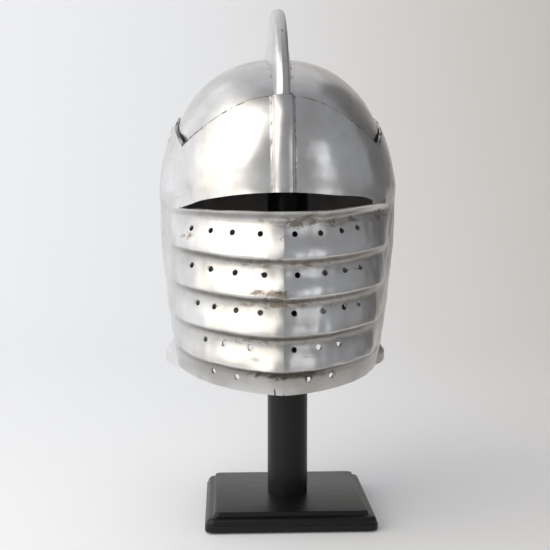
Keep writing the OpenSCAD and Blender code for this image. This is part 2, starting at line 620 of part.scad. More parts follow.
module cap_screw() {
    color(dark_steel) translate([0, 0, cap_top - 0.3]) mirror([0, 0, 1])
        wood_screw(cap_top - pole_top + 31);
}
module cap_pad() {
    color(felt_col) translate([0, 0, cap_top]) cylinder(r = pad_r, h = pad_t, $fn = 96);
}

stand_base();
base_felt();
stand_pole();
pole_cap();
cap_pad();
base_screw();
cap_screw();
skull();
comb();
visor();
pivot_bolts();
pivot_spacers();
pivot_washers();
pivot_nuts();
liner_band();
liner_tongues();
crown_lace();
liner_rivets();
strap_left();
strap_right();
strap_rivets();
strap_keeper();
buckle_frame();
buckle_prong();
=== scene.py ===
# A polished close helmet with a comb and a bellows visor, on its black wooden stand.
# Shapes are worked out in millimetres: x across, u forward of the visor's pivots, w above them.
import math

import bmesh
import bpy
import numpy as np
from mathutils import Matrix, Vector, kdtree


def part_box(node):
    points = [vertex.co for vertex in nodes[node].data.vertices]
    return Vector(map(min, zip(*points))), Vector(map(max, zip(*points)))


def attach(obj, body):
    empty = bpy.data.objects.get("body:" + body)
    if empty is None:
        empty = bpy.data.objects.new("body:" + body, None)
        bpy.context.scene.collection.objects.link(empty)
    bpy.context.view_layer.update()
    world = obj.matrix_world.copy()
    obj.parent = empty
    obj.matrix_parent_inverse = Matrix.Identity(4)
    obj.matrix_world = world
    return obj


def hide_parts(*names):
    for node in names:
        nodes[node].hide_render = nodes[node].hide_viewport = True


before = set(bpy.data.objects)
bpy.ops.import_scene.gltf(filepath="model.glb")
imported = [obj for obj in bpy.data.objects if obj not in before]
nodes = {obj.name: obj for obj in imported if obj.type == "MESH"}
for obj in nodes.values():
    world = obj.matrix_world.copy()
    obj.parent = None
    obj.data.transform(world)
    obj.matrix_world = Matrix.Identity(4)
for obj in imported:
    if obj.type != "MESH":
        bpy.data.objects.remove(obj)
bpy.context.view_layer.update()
print("frame loaded:", len(nodes), "nodes")

helmet = {"shift": -10, "back": 18, "height": 368, "plate": 2}
waveSeed = 7


def ease(a, b, t):
    q = np.clip((t - a) / (b - a), 0, 1)
    return q * q * (3 - 2 * q)


def mix(a, b, t):
    return a + (b - a) * t


def arch(t, k):
    return (1 - np.clip(t, 0, 1) ** k) ** (1 / k)


def across(a, n):
    return np.where(np.sin(a) < 0, -1, 1) * np.abs(np.sin(a)) ** (2 / n)


def along(a, n):
    return np.where(np.cos(a) < 0, -1, 1) * np.abs(np.cos(a)) ** (2 / n)


def table(t, pairs):
    pairs = sorted(pairs)
    return np.interp(t, [p[0] for p in pairs], [p[1] for p in pairs])


def inPlace(x, u, w):  # from the helmet's own millimetres to the frame's metres
    x, u, w = np.broadcast_arrays(x, u, w)
    return np.stack([x + helmet["shift"], helmet["back"] - u, w + helmet["height"]], -1) * 0.001


def waves(p, length, seed):  # gentle unevenness of a few lengths, about -1 to 1, the same on each run
    rng = np.random.default_rng(waveSeed + seed)
    total = np.zeros(p.shape[:-1])
    for _ in range(14):
        way = rng.normal(size=3)
        way *= 2 * math.pi / (length * rng.uniform(0.75, 1.5) * np.linalg.norm(way))
        total += np.cos(p @ way + rng.uniform(0, 2 * math.pi))
    return total / 3.2


def newPiece(name, points, faces, finish, body, hides=(), slots=None, sharp=38):
    mesh = bpy.data.meshes.new(name)
    points = [tuple(p) for p in np.asarray(points, float)]
    mesh.from_pydata(points, [], [tuple(int(i) for i in f) for f in faces])
    mesh.validate()
    faceOutward(mesh)
    for one in [finish] if not isinstance(finish, (list, tuple)) else finish:
        mesh.materials.append(one)
    if slots is not None:
        mesh.polygons.foreach_set("material_index", np.asarray(slots, np.int32))
    piece = bpy.data.objects.new(name, mesh)
    bpy.context.scene.collection.objects.link(piece)
    softenEdges(piece, sharp)
    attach(piece, body)
    if hides:
        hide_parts(*hides)
    return piece


def faceOutward(mesh):
    shape = bmesh.new()
    shape.from_mesh(mesh)
    bmesh.ops.recalc_face_normals(shape, faces=shape.faces)
    shape.to_mesh(mesh)
    shape.free()


def softenEdges(piece, angle):
    piece.data.shade_smooth()
    piece.data.set_sharp_from_angle(angle=math.radians(angle))


def quads(rows, cols, closed=False, start=0, skip=None, flip=False):
    faces = []
    for i in range(rows - 1):
        for j in range(cols if closed else cols - 1):
            if skip is not None and skip[i][j]:
                continue
            k = (j + 1) % cols
            f = (i * cols + j, i * cols + k, (i + 1) * cols + k, (i + 1) * cols + j)
            f = tuple(start + v for v in f)
            faces.append(f[::-1] if flip else f)
    return faces


def sweepRings(rings, closedPath=False):  # closed rings joined in order, with end caps unless the path closes
    rings = np.asarray(rings, float)
    n, m = rings.shape[:2]
    faces = quads(n, m, True)
    if closedPath:
        faces += [((n - 1) * m + j, (n - 1) * m + (j + 1) % m, (j + 1) % m, j) for j in range(m)]
    else:
        faces += [tuple(range(m))[::-1], tuple((n - 1) * m + j for j in range(m))]
    return rings.reshape(-1, 3), faces


def carve(piece, cutters):  # cuts closed meshes out of a piece, one after another
    for points, faces in cutters:
        mesh = bpy.data.meshes.new("cutter")
        mesh.from_pydata([tuple(p) for p in points], [], [tuple(f) for f in faces])
        faceOutward(mesh)
        cutter = bpy.data.objects.new("cutter", mesh)
        bpy.context.scene.collection.objects.link(cutter)
        step = piece.modifiers.new("carve", "BOOLEAN")
        step.operation, step.solver, step.object = "DIFFERENCE", "MANIFOLD", cutter
        bpy.context.view_layer.update()
        shaped = bpy.data.meshes.new_from_object(piece.evaluated_get(bpy.context.evaluated_depsgraph_get()))
        piece.modifiers.clear()
        piece.data = shaped
        bpy.data.objects.remove(cutter)
    return piece


def rodPoints(centre, way, radius, half, sides=20):  # a cylinder as points and faces
    centre, way = Vector(centre), Vector(way).normalized()
    side = way.orthogonal().normalized()
    other = way.cross(side)
    rings = [[centre + way * d + radius * (math.cos(2 * math.pi * k / sides) * side
              + math.sin(2 * math.pi * k / sides) * other) for k in range(sides)] for d in (-half, half)]
    return sweepRings(rings)


class Flow:  # a node's output, which can be used in sums
    def __init__(self, tree, socket):
        self.tree, self.socket = tree, socket

    def maths(self, operation, first, second):
        step = self.tree.nodes.new("ShaderNodeMath")
        step.operation = operation
        for spot, value in zip(step.inputs, (first, second)):
            if isinstance(value, Flow):
                self.tree.links.new(value.socket, spot)
            else:
                spot.default_value = value
        return Flow(self.tree, step.outputs[0])

    def __add__(self, other):
        return self.maths("ADD", self, other)

    def __radd__(self, other):
        return self.maths("ADD", other, self)

    def __sub__(self, other):
        return self.maths("SUBTRACT", self, other)

    def __rsub__(self, other):
        return self.maths("SUBTRACT", other, self)

    def __mul__(self, other):
        return self.maths("MULTIPLY", self, other)

    def __rmul__(self, other):
        return self.maths("MULTIPLY", other, self)


class Finish:  # a material being wired up
    def __init__(self, name):
        self.material = bpy.data.materials.new(name)
        self.material.use_nodes = True
        self.tree = self.material.node_tree
        self.tree.nodes.clear()

    def node(self, kind, settings, sockets, out=0):
        step = self.tree.nodes.new("ShaderNode" + kind)
        for key, value in settings.items():
            setattr(step, key, value)
        for key, value in sockets.items():
            if isinstance(value, Flow):
                self.tree.links.new(value.socket, step.inputs[key])
            elif value is not None:
                wide = key == "Base Color" or (kind == "Mix" and key in (6, 7))
                step.inputs[key].default_value = (*value[:3], 1) if wide else value
        return Flow(self.tree, step.outputs[out]) if step.outputs else None

    def place(self, stretch=(1, 1, 1)):
        at = self.node("TexCoord", {}, {}, "Object")
        if stretch == (1, 1, 1):
            return at
        return self.node("VectorMath", {"operation": "MULTIPLY"}, {0: at, 1: stretch})

    def noise(self, scale, detail=3, rough=0.5, at=None, warp=0):
        return self.node("TexNoise", {}, {"Vector": at or self.place(), "Scale": scale, "Detail": detail,
                                          "Roughness": rough, "Distortion": warp})

    def spots(self, scale, feature="F1"):
        return self.node("TexVoronoi", {"feature": feature}, {"Vector": self.place(), "Scale": scale})

    def between(self, low, high, flow):
        return self.node("MapRange", {"interpolation_type": "SMOOTHSTEP"},
                         {"Value": flow, "From Min": low, "From Max": high})

    def colours(self, amount, a, b):
        return self.node("Mix", {"data_type": "RGBA"}, {0: amount, 6: a, 7: b}, 2)

    def mark(self, name):  # a value kept on the mesh
        return self.node("Attribute", {"attribute_name": name}, {}, "Fac")

    def bump(self, height, depth, strength=1, under=None):
        sockets = {"Height": height, "Distance": depth, "Strength": strength, "Normal": under}
        return self.node("Bump", {}, sockets)

    def finish(self, **sockets):
        named = {key.replace("_", " "): value for key, value in sockets.items()}
        shader = self.node("BsdfPrincipled", {}, named)
        self.node("OutputMaterial", {}, {"Surface": shader})
        return self.material


steelLook = {"clean": (0.70, 0.695, 0.69), "dull": (0.50, 0.48, 0.455), "stain": (0.21, 0.165, 0.125),
             "grime": (0.07, 0.06, 0.05), "shade": (0.27, 0.26, 0.24), "rough": 0.25, "roughMore": 0.12}


def polishedSteel(name):  # stained, grimy and darkened by painted shade where the mesh's own marks say so; the grime mark holds painted shade as well as dirt
    f = Finish(name)
    look = steelLook
    cloud = f.noise(22, 4, 0.6)
    fine = f.noise(170, 3, 0.6)
    brushed = f.noise(60, 4, 0.65, f.place((1, 1, 9)))
    pits = f.spots(210)
    pitted = (1 - f.between(0.05, 0.16, pits)) * f.between(0.60, 0.72, f.noise(38, 2, 0.5))
    # the grime mark: dirt together with painted shade
    grime = f.mark("grime")
    rust = f.mark("rust")
    shade = f.mark("shade") * (0.7 + 0.6 * cloud)
    patchy = f.between(0.42, 0.66, f.noise(105, 5, 0.7, f.place((1, 1, 1.8)), 0.4))
    stain = f.between(0.2, 0.85, rust * (0.5 + patchy))
    dirtAndShade = f.between(0.22, 0.95, grime * (0.5 + 0.8 * patchy))
    colour = f.colours(f.between(0.35, 0.72, cloud) * 0.75, look["clean"], look["dull"])
    colour = f.colours(shade * 0.8, colour, look["shade"])
    colour = f.colours(stain * 0.85, colour, look["stain"])
    colour = f.colours(dirtAndShade * 0.85, colour, look["grime"])
    colour = f.colours(pitted * 0.8, colour, look["grime"])
    rough = look["rough"] + look["roughMore"] * cloud * brushed * 1.6
    rough = rough + stain * 0.16 + dirtAndShade * 0.3 + pitted * 0.2
    bumps = f.bump(brushed * 0.35 + fine * 0.3, 0.00008, 0.22)
    bumps = f.bump(1 - pitted - dirtAndShade * 0.4, 0.00025, 0.6, bumps)
    return f.finish(Base_Color=colour, Metallic=1, Roughness=rough, Normal=bumps)


def innerSteel():  # hammered and left dark inside
    f = Finish("darkInnerSteel")
    cloud = f.noise(30, 5, 0.65)
    dents = f.spots(70, feature="SMOOTH_F1")
    colour = f.colours(f.between(0.35, 0.7, cloud), (0.33, 0.325, 0.32), (0.45, 0.44, 0.43))
    return f.finish(Base_Color=colour, Metallic=0.6, Roughness=0.5 + 0.25 * cloud,
                    Normal=f.bump(dents + 0.3 * cloud, 0.0008, 0.5))


def plainSteel(name, colour, rough):
    f = Finish(name)
    cloud = f.noise(90, 4, 0.6)
    brushed = f.noise(420, 2, 0.6, f.place((6, 1, 1)))
    tint = f.colours(f.between(0.4, 0.75, cloud) * 0.5, colour, tuple(c * 0.6 for c in colour))
    return f.finish(Base_Color=tint, Metallic=1, Roughness=rough + 0.15 * cloud,
                    Normal=f.bump(brushed + cloud, 0.0001, 0.4))


def blackPaint():  # satin black over planed wood
    f = Finish("blackPaintedWood")
    grain = f.noise(35, 4, 0.6, f.place((1, 7, 1)))
    speck = f.noise(700, 2, 0.5)
    worn = f.between(0.62, 0.8, f.noise(60, 5, 0.7)) * 0.5
    colour = f.colours(worn, (0.006, 0.0068, 0.0062), (0.013, 0.014, 0.0125))
    return f.finish(Base_Color=colour, Metallic=0, Roughness=0.30 + 0.14 * grain + 0.1 * worn,
                    Coat_Weight=0.06, Coat_Roughness=0.15, Specular_IOR_Level=0.26,
                    Normal=f.bump(grain * 0.6 + speck * 0.4, 0.00012, 0.35))


def tannedLeather(name="tannedLeather", light=(0.26, 0.135, 0.062), dark=(0.11, 0.052, 0.024)):
    f = Finish(name)
    grain = f.spots(1100, feature="SMOOTH_F1")
    crease = f.noise(140, 5, 0.65)
    worn = f.noise(26, 4, 0.6)
    colour = f.colours(f.between(0.3, 0.72, worn), light, dark)
    colour = f.colours(f.between(0.45, 0.75, crease) * 0.5, colour, dark)
    return f.finish(Base_Color=colour, Metallic=0, Roughness=0.5 + 0.25 * crease,
                    Normal=f.bump(grain * 0.6 + crease * 0.8, 0.0004, 0.7))


def woolFelt():
    f = Finish("woolFelt")
    fibre = f.noise(900, 5, 0.75, warp=1.5)
    clump = f.noise(120, 4, 0.6)
    colour = f.colours(f.between(0.3, 0.7, fibre), (0.022, 0.034, 0.022), (0.05, 0.066, 0.045))
    return f.finish(Base_Color=colour, Metallic=0, Roughness=0.9, Sheen_Weight=0.3,
                    Normal=f.bump(fibre + 0.5 * clump, 0.0008, 0.9))


def waxedLace():
    f = Finish("waxedLace")
    strand = f.node("TexWave", {"wave_type": "BANDS", "bands_direction": "DIAGONAL"},
                    {"Vector": f.place(), "Scale": 260, "Distortion": 2, "Detail": 2}, 1)
    colour = f.colours(strand, (0.30, 0.235, 0.14), (0.56, 0.47, 0.33))
    return f.finish(Base_Color=colour, Metallic=0, Roughness=0.7, Normal=f.bump(strand, 0.0005, 0.8))


def wornBrass():
    f = Finish("wornBrass")
    cloud = f.noise(120, 4, 0.6)
    colour = f.colours(f.between(0.35, 0.7, cloud), (0.66, 0.48, 0.19), (0.34, 0.235, 0.10))
    return f.finish(Base_Color=colour, Metallic=1, Roughness=0.26 + 0.25 * cloud,
                    Normal=f.bump(cloud, 0.0002, 0.4))


steel = polishedSteel("polishedSteel")
combSteel = polishedSteel("combSteel")
darkSteel = innerSteel()
boltSteel = plainSteel("brushedBoltSteel", (0.40, 0.40, 0.41), 0.3)
zincSteel = plainSteel("plainZincSteel", (0.52, 0.53, 0.54), 0.34)
paint = blackPaint()
leather = tannedLeather()
strapLeather = tannedLeather("strapLeather", (0.20, 0.10, 0.045), (0.075, 0.036, 0.018))
felt = woolFelt()
lace = waxedLace()
brass = wornBrass()
print("finishes made")

skull = {"top": 81.5, "half": 114.3, "cheek": 103, "front": 142, "back": 125, "middle": -7, "flare": 11,
         "flat": 100.3, "flatInner": 11.5, "flatOuter": 20, "roundness": 2.15, "dents": 0.16, "dentSize": 34}


def pressFlat(x, u, w, flat):
    k = 1 - ease(skull["flatInner"], skull["flatOuter"], np.hypot(u, w))
    return np.where(np.abs(x) < 60, x, mix(x, np.sign(x) * flat, k))


def skullPoint(a, w, t):
    a, w = np.broadcast_arrays(np.radians(a), np.asarray(w, float))
    top = skull["top"] - t
    dome = np.maximum((skull["half"] - t) * arch((w + 70) / (70 + top), 2.3), 0.01)
    half = dome * (1 + (dome / (skull["cheek"] - t)) ** 20) ** (-1 / 20)
    fore = (skull["front"] - t) * arch((w + 30) / (30 + top), 2.3)
    aft = (skull["back"] - t) * arch((w + 20) / (20 + top), 2.3) - 32 * ease(-30, -170, w)
    x = half * across(a, skull["roundness"])
    v = np.where(np.cos(a) >= 0, fore, aft) * along(a, skull["roundness"])
    out = skull["flare"] * np.clip((-186 - w) / 26, 0, 1) ** 1.6 * ease(15, -18, skull["middle"] + v)
    r = np.maximum(np.hypot(x, v), 1)
    xf, uf = x * (1 + out / r), skull["middle"] + v * (1 + out / r)
    dip = 3.5 * np.exp(-((uf + 16) ** 2 + (w - 8) ** 2) / 1000)
    tuck = 9.5 * ease(-110, -205, w) * ease(-22, 12, uf)
    full = 3.4 * np.exp(-((uf - 52) / 38) ** 2 - ((w - 4) / 22) ** 2) * ease(40, 62, np.abs(xf))
    xf = xf + np.sign(xf) * (full - np.where(np.abs(xf) > 60, dip + tuck, 0))
    return np.stack([pressFlat(xf, uf, w, skull["flat"] - t), uf, w], -1)


def unit(n):
    return n / np.maximum(np.linalg.norm(n, axis=-1, keepdims=True), 1e-9)


def normalsOf(grid):  # outward directions of closed rows of points, one below another
    sideways = np.roll(grid, -1, 1) - np.roll(grid, 1, 1)
    return unit(np.cross(np.gradient(grid, axis=0), sideways))


# the edge of the face opening seen from the side, forward and height
faceEdge = [(190, 22), (114, 22), (104, 18), (88, 2), (76, -18), (68, -38), (65, -66), (62, -96), (50, -130),
            (34, -170), (20, -204), (8, -236), (190, -236)]


def smoothLine(points, per=8):  # a curve through the points, with soft corners
    p = np.asarray(points, float)
    out = []
    for i in range(len(p) - 1):
        a, b, c, d = p[max(i - 1, 0)], p[i], p[i + 1], p[min(i + 2, len(p) - 1)]
        for t in np.linspace(0, 1, per, endpoint=False):
            bendIn, bendOut = 2 * a - 5 * b + 4 * c - d, 3 * b - a - 3 * c + d
            out.append(0.5 * (2 * b + (c - a) * t + bendIn * t * t + bendOut * t ** 3))
    return out + [p[-1]]


def skullEdge(a):
    return mix(-226, -214, ease(84, 105, np.minimum(a, 360 - a)))


def buildSkull():
    turns = np.concatenate([np.arange(0, 72, 2.2), np.arange(72, 108, 1.2), np.arange(108, 180.1, 2.2)])
    turns = np.concatenate([turns, 360 - turns[-2:0:-1]])
    tops = 1 - np.cos(np.radians(np.linspace(1.2, 75, 46) * 90 / 75))
    share = np.linspace(0, 1, 84)[1:]
    rows = []
    for t in (0, helmet["plate"]):
        high = skull["top"] - t
        dome = high - (high - 20) * tops
        levels = np.concatenate([dome[:-1], np.linspace(20, -28, 31)])
        rows.append([np.full(len(turns), w) for w in levels]
                    + [mix(-28, skullEdge(turns), q) for q in share])
    outer, inner = [skullPoint(turns[None, :], np.array(r), t) for r, t in zip(rows, (0, helmet["plate"]))]
    n = normalsOf(outer)
    fromPivot = np.hypot(outer[..., 1], outer[..., 2])
    calm = ease(skull["flatInner"] + 2, skull["flatOuter"] + 6, fromPivot)[..., None]
    uneven = skull["dents"] * waves(outer, skull["dentSize"], 1) + 0.05 * waves(outer, 12, 2)
    uneven = uneven[..., None] * calm
    outer, inner = outer + n * (uneven - 0.16 * calm), inner + n * (uneven - 0.16 * calm)
    count, cols = outer.shape[:2]
    half = count * cols
    crown = [[0, skull["middle"], skull["top"] - t - 0.1] for t in (0, helmet["plate"])]
    points = np.concatenate([outer.reshape(-1, 3), inner.reshape(-1, 3), crown])
    faces = quads(count, cols, True, flip=True) + quads(count, cols, True, half)
    slots = [0] * (len(faces) // 2) + [1] * (len(faces) // 2)
    for j in range(cols):
        k, low = (j + 1) % cols, (count - 1) * cols
        faces += [(2 * half, j, k), (2 * half + 1, half + k, half + j),
                  (low + j, half + low + j, half + low + k, low + k)]
        slots += [0, 1, 0]
    piece = newPiece("skullShell", inPlace(points[:, 0], points[:, 1], points[:, 2]), faces,
                     [steel, darkSteel], "helmet", ["skull"], slots)
    outline = np.array([faceEdge[0]] + smoothLine(faceEdge[1:-1]) + [faceEdge[-1]], float)
    sides = [inPlace(np.full(len(outline), x), outline[:, 0], outline[:, 1]) for x in (-150, 150)]
    cutters = [sweepRings(sides)]
    for s in (-1, 1):
        cutters.append(rodPoints(inPlace(s * 100, 0, 0), (1, 0, 0), 0.004, 0.02, 32))
    return carve(piece, cutters)


comb = {"radius": 131, "half": 5.8, "foot": 0.12, "from": 13, "to": 166}


def skullDistance(p):  # from the pivots to the bowl along angle p, found by halving
    low, high = np.full(p.shape, 60.0), np.full(p.shape, 150.0)
    for _ in range(30):
        m = (low + high) / 2
        u, w = m * np.cos(p), m * np.sin(p)
        ahead = u > skull["middle"]
        aft = (np.abs(u - skull["middle"]) / np.where(ahead, skull["front"], skull["back"])) ** 2.3
        lift = np.where(ahead, 30, 20)
        inside = aft + (np.maximum(w + lift, 0) / (lift + skull["top"])) ** 2.3 < 1
        low, high = np.where(inside, m, low), np.where(inside, high, m)
    return low


def buildComb():
    p = np.radians(np.linspace(comb["from"], comb["to"], 190))
    foot = np.minimum(skullDistance(p) - 1, comb["radius"] - 5)
    h, r = comb["half"], comb["radius"]
    spread = h + comb["foot"] * (r - foot)
    # half of the section: distance out from the pivots, then half width, from foot to crest
    outer = [(foot, spread), (mix(foot, r - 4.6, 0.35), mix(spread, h + 0.5, 0.45)),
             (mix(foot, r - 4.6, 0.7), mix(spread, h + 0.5, 0.82))]
    outer += [(r - d + 0 * p, half + 0 * p) for d, half in
              [(4.6, h + 0.42), (3.1, h + 0.1), (2.0, h - 0.65), (1.15, h - 1.8), (0.5, 2.0), (0.15, 0.7)]]
    inner = [(foot, spread - 1.6), (mix(foot, r - 5, 0.5), mix(spread - 1.6, h - 1.1, 0.6))]
    inner += [(r - d + 0 * p, half + 0 * p) for d, half in [(5, h - 1.2), (3.2, h - 2.2), (2.0, 1.0)]]
    section = [(d, -x) for d, x in outer] + [(r + 0 * p, 0 * p)] + [(d, x) for d, x in outer[::-1]] \
        + [(d, x) for d, x in inner] + [(d, -x) for d, x in inner[::-1]]
    rings = np.stack([np.stack([x, d * np.cos(p), d * np.sin(p)], -1) for d, x in section], 1)
    skin = len(outer) * 2 + 1
    push = 0.14 * waves(rings[:, :skin], 24, 5) + 0.05 * waves(rings[:, :skin], 8, 6)
    rings[:, :skin, 0] += push * np.sign(rings[:, :skin, 0] + 1e-9) * 0.6
    radial = rings[:, :skin, 1:] / np.linalg.norm(rings[:, :skin, 1:], axis=-1, keepdims=True)
    inside = (np.linalg.norm(rings[:, :skin, 1:], axis=-1) > 120)[..., None]
    rings[:, :skin, 1:] += radial * (push[..., None] - 0.25) * 0.5 * inside
    points, faces = sweepRings(inPlace(rings[..., 0], rings[..., 1], rings[..., 2]))
    return newPiece("combShell", points, faces, combSteel, "helmet", ["comb"], sharp=50)


visor = {"half": 118.6, "front": 134, "middle": 3, "ridge": 12.2, "step": 7, "flat": 105.5,
         "slit": 52, "slitLeft": 46, "notch": 55.2, "notchShare": 0.833, "keel": 2.2, "keelReach": 26,
         "dents": 0.22, "breath": 5.2,
         "crestKeel": [-64.8, -105.5, -140.5, -174.6, -207, -229.8],
         "crestSide": [-61.5, -93, -127.5, -162.5, -193, -219],
         "proud": [9, 11, 12, 12, 12, 3]}


def crestAt(i, q):
    return mix(visor["crestKeel"][i], visor["crestSide"][i], q * q)


def lipAt(q):
    return mix(-47.5, -60, np.minimum(q / 0.8, 1) ** 2) - 2.6 * ease(0.6, 0.79, q)


def upperEdge(a):
    b = np.abs(a)
    seam = 39 - 43 * (np.abs(np.sin(np.radians(b))) ** (2 / 2.15) / visor["notchShare"]) ** 2.5
    arm = table(b, [(visor["notch"], -4), (64, 6.5), (77, 15.5), (84, 21), (90, 25.3), (96, 21.5),
                    (101.5, 9)])
    return np.where(b <= visor["notch"], seam, arm)


def rearAngle(w):
    return table(w, [(-230, 84), (-219, 84), (-190, 86.4), (-130, 90), (-70, 94.8), (-30, 100), (-10, 101.5),
                     (0, 101.6), (10, 101.3), (26, 98.5)])


def bellows(q, w):
    aboveCrests = visor["proud"][0] * ease(-44, 2 * crestAt(0, q) + 44, w) * 2
    out = np.where(w > crestAt(0, q), aboveCrests, visor["proud"][5])
    for i in range(5):
        high, low = crestAt(i, q), crestAt(i + 1, q)
        t = np.clip((high - w) / (high - low), 0, 1)
        floor = visor["proud"][i] - visor["step"]
        fall = mix(visor["proud"][i], floor, ease(-0.02, 0.2, t))
        rise = mix(floor, visor["proud"][i + 1], ease(0.2, 1.06, t))
        out = np.where((w <= high) & (w >= low - 0.001), np.where(t < 0.2, fall, rise), out)
    return out


def browRidge(x, w):
    b = np.abs(x)
    tall = mix(visor["ridge"], 9, ease(45, -47, w))
    shape = 1 - ease(7.1, 11.3, b)
    crown = -1.3 * (np.minimum(b, 7) / 7) ** 2
    return (tall + crown) * shape * ease(-53, -47, w)


def visorPoint(a, w):
    a, w = np.broadcast_arrays(a, np.asarray(w, float))
    b = np.radians(np.abs(a))
    n = np.where(np.abs(a) > 90, 2.15, mix(1.8, 2.15, ease(-66, -44, w)))
    q = np.abs(np.sin(b)) ** (2 / n)
    half = np.where(w > -70, visor["half"] * arch((w + 70) / 155, 2.15),
                    visor["half"] - 17.5 * (np.maximum(-70 - w, 0) / 150) ** 1.6)
    front = np.where(w > -30, visor["front"] * arch((w + 30) / 112.5, 2.3),
                     visor["front"] - 7 * (np.maximum(-30 - w, 0) / 200) ** 1.5)
    x0 = half * q
    v0 = np.where(np.abs(a) <= 90, front * along(b, n), 130 * along(b, n))
    out = np.where(w < -44, bellows(q, w) * (1 - ease(50, 67, np.abs(a))), 0)
    out = out + np.where(w > -53, browRidge(x0, w), 0)
    reach = visor["keelReach"]
    near = np.clip(1 - x0 / reach, 0, 1)
    keel = visor["keel"] * (near ** 1.6 - 0.35) * ease(-64, -80, w) * (1 - 0.35 * ease(-205, -212, w))
    keel = np.where(x0 < reach * 3, keel, 0) * (1 - ease(reach, reach * 3, x0))
    dx, dv = 0.9 * x0, np.maximum(v0, 0)
    r = np.maximum(np.hypot(dx, dv), 1)
    u = visor["middle"] + v0 + (out + keel) * dv / r
    x1 = x0 + 0.6 * (out + keel) * dx / r - 6 * ease(-25, -60, w) * ease(33, -8, u)
    x = np.where(a < 0, -1, 1) * pressFlat(x1, u, w, visor["flat"])
    lift = 4 * ease(18, 46, a) * ease(-28, -50, w) * ease(-104, -70, w)
    return np.stack([x, u, w + lift], -1)


def visorNormal(a, w):
    side = visorPoint(a + 0.3, w) - visorPoint(a - 0.3, w)
    rise = visorPoint(a, w + 0.45) - visorPoint(a, w - 0.45)
    n = np.cross(rise, side)
    return unit(n * np.where((visorPoint(a, w) * n).sum(-1, keepdims=True) < 0, -1, 1))


# the breaths of each valley, from the wearer's right, and their share of the way down to the next crest
breathRows = [([-77, -60.5, -42.5, -19.5, 9, 31, 49.5, 64], 0.48),
              ([-78, -61.5, -41, -16.5, 11.5, 35.5, 53.5, 68], 0.44),
              ([-75, -60.5, -41.5, -20.5, 9, 35, 54.5, 69], 0.42),
              ([-71.5, -54.5, -30.5, 9.5, 33, 52.5], 0.41),
              ([-67.5, -45, 24.5, 48], 0.42)]


def breathSpots():
    spots = []
    for i, (reach, share) in enumerate(breathRows):
        for x in reach:
            q = min(abs(x) / 112, 1)
            a = math.copysign(math.degrees(math.asin(q ** 0.9)), x)
            w = mix(crestAt(i, q), crestAt(i + 1, q), share)
            spots.append(visorPoint(np.array(a), np.array(w)))
    return spots


